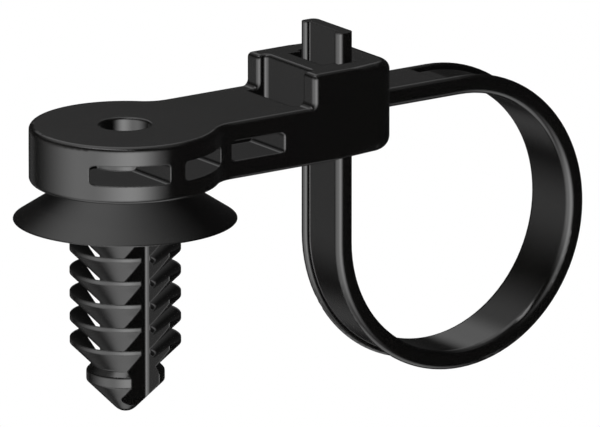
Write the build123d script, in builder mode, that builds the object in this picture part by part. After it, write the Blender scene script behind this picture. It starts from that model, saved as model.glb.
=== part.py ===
from build123d import *
import math
import os

os.makedirs("parts", exist_ok=True)

# A one-piece cable tie moulded in polyamide, with an offset fir tree fixing.
# The origin is on the axis of the fir tree, in the plane where the rim of its disc
# meets the panel. +Z points away from the panel, and +X along the arm to the head.
# Lengths are in millimetres and angles in degrees.

# Disc: a thin umbrella that presses on the panel
disc_radius = 7.7
disc_slope = 33.5
disc_rim_land = 0.2
disc_wall = 0.85

# Boss and arm: one flat body over the disc
boss_radius = 6.6
body_bottom = 2.64
body_height = 4.01
arm_width = 8.3
blend_radius = 2.4
edge_round = 0.35

# Blind hole in the middle of the boss
bore_radius = 1.7
bore_depth = 3.0
bore_lip = 0.17

# Core-outs in both sides of the body, with ribs and a middle web between them
pocket_height = 1.4
pocket_corner = 0.3
pocket_lip = 0.12
arm_pocket_length = 4.38
boss_pocket_length = 4.74
last_pocket_end = 10.43
rib_thickness = 1.2
web_thickness = 0.6
bore_wall = 0.78

# Head: a box at the end of the arm. A recess in its face towards the boss goes down
# into the arm, so that two cheeks stand beside it
head_start = 12.95
head_length = 7.2
head_rise = 2.33
head_far_corner = 1.9
head_near_corner = 0.37
foot_round = 0.42
head_upper_round = 0.65
head_lower_round = 1.0
head_round_fade = 8.0
recess_depth = 0.72
recess_width = 5.3
recess_corner = 0.27
recess_lead = 0.03
recess_drop = 1.2
recess_mouth_round = 0.27
front_wall = 1.41

# Strap: two rails along its outer face, and a back with full round edges
strap_width = 4.73
strap_thickness = 1.33
strap_drop = 0.15
loop_radius = 10.46
plain_run = 4.8
rail_width = 0.68
rail_outer_round = 0.42
rail_inner_round = 0.25
back_round = 0.46
channel_depth = 0.43
channel_ramp = 0.5
tab_rise = 2.09
strap_anchor = 1.0

# Slot in the head, its pawl, and the teeth on the stretch of strap inside the head
slot_clearance = 0.1
pawl_room = 1.03
pawl_pocket_width = 4.0
pawl_floor = 1.3
pawl_width = 3.0
pawl_thickness = 0.5
pawl_drop = 1.65
pawl_tooth_count = 3
tooth_count = 5
tooth_pitch = 0.95
tooth_height = 0.26
tooth_land = 0.14
tooth_clearance = 0.05
tooth_tip_clearance = 0.1

# Fir tree: cup-shaped fins round a core, slotted on two sides
fin_radius = 3.83
fin_rim = 0.32
fin_pitch = 1.645
fin_count = 6
first_fin_depth = 0.2
fin_under_slope = 45.0
fin_cup_slope = 36.0
fin_root_round = 0.25
core_radius = 1.76
tree_slot_width = 2.28
tree_slot_corner = 0.24
tree_web = 2.0

# Point of the fir tree
neck_radius = 2.3
collar_radius = 2.7
collar_height = 0.68
collar_round = 0.18
shoulder_slope = 48.0
point_slope = 45.0
point_round = 1.03

# Places that follow from the sizes
body_top = body_bottom + body_height
body_middle = body_bottom + body_height / 2
head_top = body_top + head_rise
head_end = head_start + head_length
recess_face = head_start + recess_depth
pawl_pocket_start = recess_face + front_wall
slot_start = pawl_pocket_start + pawl_room
slot_length = strap_thickness + 2 * slot_clearance
strap_outer_x = slot_start + slot_clearance
strap_top = body_top - strap_drop
middle_radius = loop_radius - strap_thickness / 2
loop_centre_x = strap_outer_x + loop_radius
loop_centre_z = strap_top - loop_radius
channel_start = head_end + plain_run
channel_width = strap_width - 2 * rail_width
channel_floor_x = strap_outer_x + channel_depth
tab_top = head_top + tab_rise
pawl_top = head_top - pawl_drop
foot_start = head_start - foot_round
recess_start = foot_start - recess_lead - recess_corner
recess_length = recess_face - recess_start
fade_run = (head_length - head_far_corner) * math.tan(math.radians(head_round_fade))
small_overlap = 0.3
tolerance = 0.01


def rise(run, slope):
    return run * math.tan(math.radians(slope))


# Where the pawl stands, with its teeth just under those of the strap
tooth_rise = tooth_pitch - tooth_land
pawl_tip_x = channel_floor_x - tooth_tip_clearance
pawl_root_x = pawl_tip_x - tooth_pitch * tooth_height / tooth_rise
pawl_back_x = pawl_root_x - pawl_thickness
pawl_bottom = body_bottom + pawl_floor - small_overlap

# Heights down the disc and the fir tree
turned_top = body_bottom + small_overlap
turned_top_radius = disc_radius - turned_top / rise(1, disc_slope)
disc_wall_height = disc_wall / math.cos(math.radians(disc_slope))
disc_inner_top = rise(disc_radius - core_radius, disc_slope) - disc_wall_height
fin_cup_drop = rise(fin_radius - core_radius, fin_cup_slope)
fin_under_drop = rise(fin_radius - core_radius, fin_under_slope)
last_rim_bottom = -first_fin_depth - (fin_count - 1) * fin_pitch - fin_rim
neck_z = last_rim_bottom - rise(fin_radius - neck_radius, fin_under_slope)
collar_top = neck_z - rise(collar_radius - neck_radius, shoulder_slope)
collar_bottom = collar_top - collar_height
point_centre = (collar_bottom - rise(collar_radius, point_slope)
                + point_round / math.cos(math.radians(point_slope)))
point_tip = point_centre - point_round
point_edge = (point_round * math.sin(math.radians(point_slope)),
              point_centre - point_round * math.cos(math.radians(point_slope)))


# Volumes of the core-outs on one side of the body: the ones beside the hole
# stop at the wall round it
arm_pocket_starts = [last_pocket_end - arm_pocket_length]
arm_pocket_starts.append(arm_pocket_starts[0] - rib_thickness - arm_pocket_length)
boss_pocket_start = arm_pocket_starts[1] - rib_thickness - boss_pocket_length

with BuildPart() as pockets:
    with BuildSketch(Plane.XZ.offset(web_thickness / 2)):
        with Locations(*[(start + arm_pocket_length / 2, body_middle) for start in arm_pocket_starts]):
            RectangleRounded(arm_pocket_length, pocket_height, pocket_corner)
        with Locations((boss_pocket_start + boss_pocket_length / 2, body_middle)):
            RectangleRounded(boss_pocket_length, pocket_height, pocket_corner)
    extrude(amount=boss_radius)
    with Locations((0, 0, body_middle)):
        Cylinder(bore_radius + bore_wall, body_height, mode=Mode.SUBTRACT)
    mirror(about=Plane.XZ)


# Disc and fir tree: one turned outline from the middle of the boss to the point,
# hollow under the disc
with BuildPart() as fir_tree:
    profile = [
        (0, turned_top),
        (turned_top_radius, turned_top),
        (disc_radius, 0),
        (core_radius, 0),
    ]
    cup_roots = []
    for place in range(fin_count):
        rim_top = -first_fin_depth - place * fin_pitch
        rim_bottom = rim_top - fin_rim
        cup_roots.append((core_radius, rim_top - fin_cup_drop))
        profile.append(cup_roots[-1])
        profile.append((fin_radius, rim_top))
        profile.append((fin_radius, rim_bottom))
        if place < fin_count - 1:
            profile.append((core_radius, rim_bottom - fin_under_drop))
    profile += [
        (neck_radius, neck_z),
        (collar_radius, collar_top),
        (collar_radius, collar_bottom),
        point_edge,
    ]
    collar_edges = [(collar_radius, collar_top), (collar_radius, collar_bottom)]
    with BuildSketch(Plane.XZ) as tree_profile:
        with BuildLine():
            Polyline(*profile)
            CenterArc((0, point_centre), point_round, point_slope - 90, -point_slope)
            Line((0, point_tip), profile[0])
        make_face()
        tree_corners = tree_profile.vertices()
        fillet([tree_corners.sort_by_distance((x, z, 0))[0] for x, z in cup_roots], fin_root_round)
        tree_corners = tree_profile.vertices()
        fillet([tree_corners.sort_by_distance((x, z, 0))[0] for x, z in collar_edges], collar_round)
        with BuildLine():
            Polyline(
                (core_radius, 0),
                (core_radius, disc_inner_top),
                (disc_radius - disc_rim_land, 0),
                close=True,
            )
        make_face(mode=Mode.SUBTRACT)
    revolve(axis=Axis.Z)

    # Slots down both sides of the fir tree
    with BuildSketch() as tree_slots:
        for side in (-1, 1):
            with Locations((0, side * (tree_web / 2 + fin_radius / 2))):
                Rectangle(tree_slot_width, fin_radius)
        fillet(tree_slots.vertices().filter_by(lambda v: abs(v.Y) < fin_radius / 2), tree_slot_corner)
    extrude(amount=point_tip, mode=Mode.SUBTRACT)


def at_far_end(edge):
    """True on all edges of the trimming form but the one at the start of the head."""
    return edge.center().X > head_start + tolerance


# Form that the far end of the head is trimmed to. Its sides lean away from those of
# the head, so that the large rounds fade out along them
with BuildPart() as far_end_form:
    with BuildSketch(Plane.XY.offset(body_bottom)) as far_end_plan:
        with Locations((head_end - head_length / 2, 0)):
            Rectangle(head_length, arm_width)
        fillet(far_end_plan.vertices().group_by(Axis.X)[-1], head_far_corner)
        with BuildLine():
            Polyline(
                (head_end - head_far_corner, arm_width / 2),
                (head_start, arm_width / 2 + fade_run),
                (head_start, -arm_width / 2 - fade_run),
                (head_end - head_far_corner, -arm_width / 2),
                close=True,
            )
        make_face()
    extrude(amount=head_top - body_bottom)
    fillet(far_end_form.faces().sort_by(Axis.Z)[0].edges().filter_by(at_far_end), head_lower_round)
    fillet(far_end_form.faces().sort_by(Axis.Z)[-1].edges().filter_by(at_far_end), head_upper_round)

with BuildPart() as far_end_trim:
    with BuildSketch(Plane.XY.offset(body_bottom)):
        with Locations((head_end - head_length / 2, 0)):
            Rectangle(head_length, arm_width)
    extrude(amount=head_top - body_bottom)
    add(far_end_form.part, mode=Mode.SUBTRACT)


def on_top_outline(edge):
    """True on the top outline of boss and arm, the sides of the feet and the near corners."""
    middle = edge.center()
    on_body = abs(middle.Z - body_top) < tolerance and middle.X < foot_start - tolerance
    on_head = (abs(abs(middle.Y) - arm_width / 2) < tolerance and middle.X < head_start + tolerance
               and body_top + tolerance < middle.Z < head_top - tolerance)
    return on_body or on_head


def on_recess_mouth(edge):
    """True on the upper outline of the recess, over the arm and over the head."""
    middle = edge.center()
    return (abs(middle.Y) < recess_width / 2 + tolerance
            and recess_start - tolerance < middle.X < recess_face + tolerance
            and middle.Z > body_top - tolerance
            and not (edge.geom_type == GeomType.LINE and middle.X > head_start + head_near_corner
                     and middle.Z < head_top - tolerance))


def on_pocket_mouth(edge):
    """True on the mouths of the core-outs in the flat sides of the arm."""
    middle = edge.center()
    return (abs(abs(middle.Y) - arm_width / 2) < tolerance
            and abs(middle.Z - body_middle) < pocket_height / 2 + tolerance
            and middle.X > arm_pocket_starts[-1] - tolerance)


with BuildPart() as cable_tie:
    # Flat body: the plan outline of boss, arm and head
    with BuildSketch(Plane.XY.offset(body_bottom)) as body_plan:
        Circle(boss_radius)
        with Locations((head_end / 2, 0)):
            Rectangle(head_end, arm_width)
        fillet(body_plan.vertices().filter_by(lambda v: v.X < boss_radius), blend_radius)
        fillet(body_plan.vertices().group_by(Axis.X)[-1], head_far_corner)
    extrude(amount=body_height)
    fillet(cable_tie.faces().sort_by(Axis.Z)[0].edges(), edge_round)

    # Raised part of the head
    with BuildSketch(Plane.XY.offset(body_middle)) as head_plan:
        with Locations((head_start + head_length / 2, 0)):
            Rectangle(head_length, arm_width)
        fillet(head_plan.vertices().group_by(Axis.X)[-1], head_far_corner)
    extrude(amount=head_top - body_middle)

    # Concave foot of the head on the arm
    with BuildSketch(Plane.XZ):
        with BuildLine():
            CenterArc((foot_start, body_top + foot_round), foot_round, -90, 90)
            Polyline(
                (head_start, body_top + foot_round),
                (head_start, body_top - small_overlap),
                (foot_start, body_top - small_overlap),
                (foot_start, body_top),
            )
        make_face()
    extrude(amount=arm_width / 2, both=True)

    # One round along the top of the body, up the foot and up the near corners of the head
    fillet(cable_tie.edges().filter_by(on_top_outline), head_near_corner)
    fillet(cable_tie.faces().sort_by(Axis.Z)[-1].edges(), edge_round)

    # Recess between the cheeks, with one round all along its mouth
    with BuildSketch(Plane.XY.offset(head_top)):
        with Locations((recess_start + recess_length / 2, 0)):
            RectangleRounded(recess_length, recess_width, recess_corner)
    extrude(amount=-(head_rise + recess_drop), mode=Mode.SUBTRACT)
    fillet(cable_tie.edges().filter_by(on_recess_mouth), recess_mouth_round)

    # Larger rounds above and below at the far end of the head
    add(far_end_trim.part, mode=Mode.SUBTRACT)

    # Core-outs in both sides, with their mouths rounded
    add(pockets.part, mode=Mode.SUBTRACT)
    fillet(cable_tie.edges().filter_by(on_pocket_mouth), pocket_lip)

    # Blind hole with a rounded lip
    with Locations((0, 0, body_top)):
        Hole(bore_radius, bore_depth)
    fillet(cable_tie.edges().filter_by(GeomType.CIRCLE).filter_by(
        lambda e: abs(e.radius - bore_radius) < tolerance).sort_by(Axis.Z)[-1], bore_lip)

    # Slot for the strap, and the pocket behind it where the pawl flexes
    with BuildSketch(Plane.XY.offset(head_top)):
        with Locations((slot_start + slot_length / 2, 0)):
            Rectangle(slot_length, strap_width + 2 * slot_clearance)
    extrude(amount=-(head_top - body_bottom), mode=Mode.SUBTRACT)
    with BuildSketch(Plane.XY.offset(head_top)):
        with Locations((pawl_pocket_start + pawl_room, 0)):
            Rectangle(2 * pawl_room, pawl_pocket_width)
    extrude(amount=-(head_top - body_bottom - pawl_floor), mode=Mode.SUBTRACT)

    # Plain root of the strap, from inside the head to where its channel starts
    strap_root = Plane(
        origin=(head_end - strap_anchor, 0, strap_top - strap_thickness / 2),
        x_dir=(0, 1, 0),
        z_dir=(1, 0, 0),
    )
    with BuildSketch(strap_root) as plain_section:
        Rectangle(strap_width, strap_thickness)
        fillet(plain_section.vertices().group_by(Axis.Y)[-1], rail_outer_round)
        fillet(plain_section.vertices().group_by(Axis.Y)[0], back_round)
    extrude(amount=strap_anchor + plain_run)

    # Channelled stretch: straight on, three quarters of a turn, and up through the head
    with BuildLine(Plane.XZ) as strap_line:
        Line((channel_start, strap_top - strap_thickness / 2),
             (loop_centre_x, strap_top - strap_thickness / 2))
        CenterArc((loop_centre_x, loop_centre_z), middle_radius, 90, -270)
        Line((loop_centre_x - middle_radius, loop_centre_z),
             (loop_centre_x - middle_radius, tab_top))
    with BuildSketch(strap_root.offset(strap_anchor + plain_run)) as channel_section:
        Rectangle(strap_width, strap_thickness)
        with Locations((0, strap_thickness / 2)):
            Rectangle(channel_width, 2 * channel_depth, mode=Mode.SUBTRACT)
        rail_corners = channel_section.vertices().group_by(Axis.Y)[-1].sort_by(Axis.X)
        fillet(rail_corners[1:3], rail_inner_round)
        rail_corners = channel_section.vertices().group_by(Axis.Y)[-1].sort_by(Axis.X)
        fillet([rail_corners[0], rail_corners[-1]], rail_outer_round)
        fillet(channel_section.vertices().group_by(Axis.Y)[0], back_round)
    sweep(path=strap_line.wires()[0])

    # Ramp from the plain root down to the floor of the channel
    with BuildSketch(Plane.XZ):
        with BuildLine():
            Polyline(
                (channel_start - small_overlap, strap_top),
                (channel_start, strap_top),
                (channel_start + channel_ramp, strap_top - channel_depth),
                (channel_start + channel_ramp, strap_top - channel_depth - small_overlap),
                (channel_start - small_overlap, strap_top - channel_depth - small_overlap),
                close=True,
            )
        make_face()
    extrude(amount=channel_width / 2 + rail_inner_round, both=True)

    # Teeth across the floor of the channel, on the stretch inside the head
    with BuildSketch(Plane.XZ):
        for place in range(tooth_count):
            catch_z = pawl_top + tooth_clearance - place * tooth_pitch
            with BuildLine():
                Polyline(
                    (channel_floor_x + small_overlap, catch_z),
                    (channel_floor_x - tooth_height, catch_z),
                    (channel_floor_x, catch_z + tooth_rise),
                    (channel_floor_x + small_overlap, catch_z + tooth_rise),
                    close=True,
                )
            make_face()
    extrude(amount=channel_width / 2 + rail_inner_round, both=True)

    # Pawl: a thin tongue that stands in the pocket
    with BuildSketch(Plane.XZ):
        with BuildLine():
            outline = [(pawl_back_x, pawl_bottom), (pawl_back_x, pawl_top)]
            for place in range(pawl_tooth_count):
                outline.append((pawl_tip_x, pawl_top - place * tooth_pitch))
                outline.append((pawl_root_x, pawl_top - (place + 1) * tooth_pitch))
            outline.append((pawl_root_x, pawl_bottom))
            Polyline(*outline, close=True)
        make_face()
    extrude(amount=pawl_width / 2, both=True)

    # Disc and fir tree
    add(fir_tree.part)

cable_tie.part.label = "cable_tie"
export_step(cable_tie.part, "parts/cable_tie.step")
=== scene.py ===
import math
import bpy
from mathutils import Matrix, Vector


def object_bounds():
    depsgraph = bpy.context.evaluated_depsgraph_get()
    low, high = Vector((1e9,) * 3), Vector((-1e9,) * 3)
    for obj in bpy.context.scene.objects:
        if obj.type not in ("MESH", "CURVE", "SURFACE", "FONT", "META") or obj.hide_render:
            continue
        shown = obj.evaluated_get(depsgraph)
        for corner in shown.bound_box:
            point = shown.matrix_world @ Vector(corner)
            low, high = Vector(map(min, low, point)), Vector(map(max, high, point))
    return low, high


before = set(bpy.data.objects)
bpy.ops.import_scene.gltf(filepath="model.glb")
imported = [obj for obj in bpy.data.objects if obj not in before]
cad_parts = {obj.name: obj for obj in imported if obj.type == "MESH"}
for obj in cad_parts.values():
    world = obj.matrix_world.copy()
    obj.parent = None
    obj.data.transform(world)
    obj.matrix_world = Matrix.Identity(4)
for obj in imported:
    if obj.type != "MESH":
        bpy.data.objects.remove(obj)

cad_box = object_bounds()

# Lengths are in metres and angles in degrees. Azimuth 0 is the side of -Y, and azimuth 90 the side of +X.

# The view: almost parallel, from the left and a little above. Lens and sensor are in millimetres.
VIEW_AZIMUTH = -35.0
VIEW_ELEVATION = 15.0
LENS = 1150.0
SENSOR = 36.0
SEEN_WIDTH = 0.04109
AIM = Vector((0.00983, -0.00684, 0.0003))
CLIP_START = 0.1
CLIP_END = 6.0

# The floor, a disc some way under the object
STAGE_CENTRE = (0.012, 0.0)
FLOOR_DROP = 0.045
FLOOR_RADIUS = 0.15
FLOOR_CORNERS = 96
FLOOR_COLOUR = (0.9, 0.9, 0.9)
FLOOR_GLOW = 0.42

# The light round the object. A level of 1 is white, and the room's level is what lies between the areas.
# An area's width and height are half sizes at a distance of 1, and its fade is the share that is soft.
BACKGROUND = (1.0, 1.0, 1.0)
ROOM_LEVEL = 0.02
LIGHT_AREAS = (
    # name, azimuth, elevation, width, height, fade, level
    ("low left", -75.0, -17.0, 1.25, 0.90, 0.8, 1.38),
    ("low front", -23.0, -13.0, 0.77, 0.92, 1.0, 1.95),
    ("overhead", 180.0, 68.0, 0.77, 0.76, 0.9, 0.76),
    ("back window", 152.0, 31.0, 0.36, 0.35, 0.7, 0.44),
    ("below", 143.0, -90.0, 0.88, 0.50, 0.6, 0.92),
    ("left high", -75.0, 69.0, 0.55, 0.14, 0.4, 1.8),
    ("right high", 45.0, 58.0, 0.50, 0.25, 0.8, 0.2),
    ("low back", 177.0, -34.0, 0.35, 0.74, 0.9, 0.12),
)
AREA_DEPTH = 2.0

# The lamp that casts the floor's shadow. Its level is the share of white that it adds on a level surface.
LAMP_AZIMUTH = -120.0
LAMP_ELEVATION = 65.0
LAMP_DISTANCE = 0.8
LAMP_SIZE = 0.15
LAMP_LEVEL = 0.5

# Moulded polyamide: its colour and gloss, and how far each strays
BLACK = (0.0042, 0.0039, 0.0036)
BLACK_SPREAD = 0.1
REFRACTION = 1.8
GLOSS_ROUGHNESS = 0.12
GLOSS_SPREAD = 0.02
HAZE_SCALE = 180.0
HAZE_DETAIL = 3.0

# Its skin: a fine ripple, and sharp edges that catch the light as if slightly rounded
GRAIN_SCALE = 2600.0
GRAIN_DETAIL = 2.0
RIPPLE_STRENGTH = 0.04
RIPPLE_DEPTH = 0.00001
EDGE_SOFTNESS = 0.00013
EDGE_SAMPLES = 6


def direction(azimuth, elevation):
    """Unit vector from the object towards a place at that azimuth and elevation."""
    a, e = math.radians(azimuth), math.radians(elevation)
    return Vector((math.sin(a) * math.cos(e), -math.cos(a) * math.cos(e), math.sin(e)))


def look_from(thing, target, azimuth, elevation, distance):
    """Puts a camera or lamp at that distance from the target and turns it towards the target."""
    back = direction(azimuth, elevation)
    thing.location = target + back * distance
    thing.rotation_mode = "QUATERNION"
    thing.rotation_quaternion = (-back).to_track_quat("-Z", "Y")


def new_material(name):
    """An empty node material, its node tree and its output."""
    material = bpy.data.materials.new(name)
    material.use_nodes = True
    tree = material.node_tree
    tree.nodes.clear()
    return material, tree, tree.nodes.new("ShaderNodeOutputMaterial")


def noise(tree, place, scale, detail):
    """A noise texture that is fixed to the object."""
    texture = tree.nodes.new("ShaderNodeTexNoise")
    texture.inputs["Scale"].default_value = scale
    texture.inputs["Detail"].default_value = detail
    tree.links.new(place.outputs["Object"], texture.inputs["Vector"])
    return texture


def hazy_gloss(tree, haze):
    """A roughness that strays a little round its mean with the haze."""
    spread = tree.nodes.new("ShaderNodeMapRange")
    spread.inputs["To Min"].default_value = GLOSS_ROUGHNESS - GLOSS_SPREAD
    spread.inputs["To Max"].default_value = GLOSS_ROUGHNESS + GLOSS_SPREAD
    tree.links.new(haze.outputs["Fac"], spread.inputs["Value"])
    return spread.outputs["Result"]


def hazy_black(tree, haze):
    """A black that strays a little round its mean with the haze."""
    tint = tree.nodes.new("ShaderNodeMapRange")
    tint.data_type = "FLOAT_VECTOR"
    # The vector sockets share their names with the plain ones, so they are taken by number
    vector, to_min, to_max, result = tint.inputs[6], tint.inputs[9], tint.inputs[10], tint.outputs[1]
    to_min.default_value = [c * (1.0 - BLACK_SPREAD) for c in BLACK]
    to_max.default_value = [c * (1.0 + BLACK_SPREAD) for c in BLACK]
    tree.links.new(haze.outputs["Color"], vector)
    return result


def skin(tree, place):
    """The surface's normal, with the ripple and the softened edges."""
    edges = tree.nodes.new("ShaderNodeBevel")
    edges.samples = EDGE_SAMPLES
    edges.inputs["Radius"].default_value = EDGE_SOFTNESS
    grain = noise(tree, place, GRAIN_SCALE, GRAIN_DETAIL)
    ripple = tree.nodes.new("ShaderNodeBump")
    ripple.inputs["Strength"].default_value = RIPPLE_STRENGTH
    ripple.inputs["Distance"].default_value = RIPPLE_DEPTH
    tree.links.new(grain.outputs["Fac"], ripple.inputs["Height"])
    tree.links.new(edges.outputs["Normal"], ripple.inputs["Normal"])
    return ripple.outputs["Normal"]


def black_polyamide():
    """Glossy black plastic: a faint moulding haze in its gloss and the slightest ripple in its skin."""
    material, tree, output = new_material("black polyamide")
    place = tree.nodes.new("ShaderNodeTexCoord")
    haze = noise(tree, place, HAZE_SCALE, HAZE_DETAIL)
    plastic = tree.nodes.new("ShaderNodeBsdfPrincipled")
    plastic.inputs["IOR"].default_value = REFRACTION
    tree.links.new(hazy_gloss(tree, haze), plastic.inputs["Roughness"])
    tree.links.new(hazy_black(tree, haze), plastic.inputs["Base Color"])
    tree.links.new(skin(tree, place), plastic.inputs["Normal"])
    tree.links.new(plastic.outputs["BSDF"], output.inputs["Surface"])
    return material


def dress(node, material):
    """Gives a piece of the part its material, and keeps the piece out of reflections."""
    node.data.materials.clear()
    node.data.materials.append(material)
    node.visible_glossy = False


def rays_of(tree, *kinds):
    """A socket that is 1 for rays of those kinds and 0 for all others."""
    path = tree.nodes.new("ShaderNodeLightPath")
    share = path.outputs[kinds[0]]
    for kind in kinds[1:]:
        either = tree.nodes.new("ShaderNodeMath")
        either.operation = "MAXIMUM"
        tree.links.new(share, either.inputs[0])
        tree.links.new(path.outputs[kind], either.inputs[1])
        share = either.outputs["Value"]
    return share


def floor_material():
    """Pale matte floor, lifted to white where it is seen, with its shadow kept."""
    material, tree, output = new_material("pale floor")
    matte = tree.nodes.new("ShaderNodeBsdfDiffuse")
    matte.inputs["Color"].default_value = (*FLOOR_COLOUR, 1.0)
    glow = tree.nodes.new("ShaderNodeEmission")
    level = tree.nodes.new("ShaderNodeMath")
    level.operation = "MULTIPLY"
    level.inputs[1].default_value = FLOOR_GLOW
    both = tree.nodes.new("ShaderNodeAddShader")
    seen = rays_of(tree, "Is Camera Ray", "Is Glossy Ray", "Is Transmission Ray")
    tree.links.new(seen, level.inputs[0])
    tree.links.new(level.outputs["Value"], glow.inputs["Strength"])
    tree.links.new(matte.outputs["BSDF"], both.inputs[0])
    tree.links.new(glow.outputs["Emission"], both.inputs[1])
    tree.links.new(both.outputs["Shader"], output.inputs["Surface"])
    return material


def make_floor(z):
    """The floor at that height, kept out of the part's reflections."""
    bpy.ops.mesh.primitive_circle_add(vertices=FLOOR_CORNERS, radius=FLOOR_RADIUS, fill_type="NGON",
                                      location=(*STAGE_CENTRE, z))
    floor = bpy.context.object
    floor.name = "floor"
    floor.data.materials.append(floor_material())
    floor.visible_glossy = False


def light_area(tree, place, azimuth, elevation, width, height, fade, level):
    """A soft-edged oval of light round the object."""
    centre = tree.nodes.new("ShaderNodeMapping")
    centre.vector_type = "TEXTURE"
    centre.inputs["Location"].default_value = direction(azimuth, elevation)
    centre.inputs["Rotation"].default_value = (0.0, math.radians(-elevation), math.radians(azimuth - 90.0))
    centre.inputs["Scale"].default_value = (AREA_DEPTH, width, height)
    oval = tree.nodes.new("ShaderNodeTexGradient")
    oval.gradient_type = "SPHERICAL"
    edge = tree.nodes.new("ShaderNodeMapRange")
    edge.interpolation_type = "SMOOTHSTEP"
    edge.inputs["From Max"].default_value = fade
    edge.inputs["To Max"].default_value = level
    tree.links.new(place.outputs["Generated"], centre.inputs["Vector"])
    tree.links.new(centre.outputs["Vector"], oval.inputs["Vector"])
    tree.links.new(oval.outputs["Fac"], edge.inputs["Value"])
    return edge.outputs["Result"]


def light_level(tree):
    """The level of light from each direction: the room's own, and all the areas on top of it."""
    place = tree.nodes.new("ShaderNodeTexCoord")
    total = None
    for name, *shape in LIGHT_AREAS:
        area = light_area(tree, place, *shape)
        add = tree.nodes.new("ShaderNodeMath")
        add.label = name
        add.inputs[0].default_value = ROOM_LEVEL
        if total:
            tree.links.new(total, add.inputs[0])
        tree.links.new(area, add.inputs[1])
        total = add.outputs["Value"]
    return total


def make_world():
    """White where the camera or a clear surface sees it, and soft areas of light for all other rays."""
    world = bpy.data.worlds.new("studio")
    world.use_nodes = True
    # Without this setting the world is sampled as a lamp, which the part and the floor would shade
    world.cycles.sampling_method = "NONE"
    tree = world.node_tree
    tree.nodes.clear()
    output = tree.nodes.new("ShaderNodeOutputWorld")
    room = tree.nodes.new("ShaderNodeBackground")
    room.inputs["Color"].default_value = (*BACKGROUND, 1.0)
    backdrop = tree.nodes.new("ShaderNodeBackground")
    backdrop.inputs["Color"].default_value = (*BACKGROUND, 1.0)
    mix = tree.nodes.new("ShaderNodeMixShader")
    tree.links.new(light_level(tree), room.inputs["Strength"])
    tree.links.new(rays_of(tree, "Is Camera Ray", "Is Transmission Ray"), mix.inputs["Fac"])
    tree.links.new(room.outputs["Background"], mix.inputs[1])
    tree.links.new(backdrop.outputs["Background"], mix.inputs[2])
    tree.links.new(mix.outputs["Shader"], output.inputs["Surface"])
    bpy.context.scene.world = world


def make_lamp():
    """A soft lamp high up, which gives the floor its shadow and has no reflection of its own."""
    lamp = bpy.data.lights.new("overhead", "AREA")
    lamp.shape = "DISK"
    lamp.size = LAMP_SIZE
    slant = math.sin(math.radians(LAMP_ELEVATION))
    lamp.energy = LAMP_LEVEL * (math.pi * LAMP_DISTANCE) ** 2 / slant
    thing = bpy.data.objects.new("overhead", lamp)
    bpy.context.scene.collection.objects.link(thing)
    look_from(thing, Vector((*STAGE_CENTRE, 0.0)), LAMP_AZIMUTH, LAMP_ELEVATION, LAMP_DISTANCE)
    thing.visible_glossy = False
    thing.visible_camera = False


def make_camera():
    """The photograph's view. A long lens from far away comes near to its parallel lines."""
    data = bpy.data.cameras.new("camera")
    data.lens = LENS
    data.sensor_width = SENSOR
    data.clip_start = CLIP_START
    data.clip_end = CLIP_END
    camera = bpy.data.objects.new("camera", data)
    bpy.context.scene.collection.objects.link(camera)
    look_from(camera, AIM, VIEW_AZIMUTH, VIEW_ELEVATION, SEEN_WIDTH * LENS / SENSOR)
    bpy.context.scene.camera = camera


plastic = black_polyamide()
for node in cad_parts.values():
    dress(node, plastic)

make_floor(cad_box[0].z - FLOOR_DROP)
make_world()
make_lamp()
make_camera()
bpy.context.scene.view_settings.view_transform = "Standard"
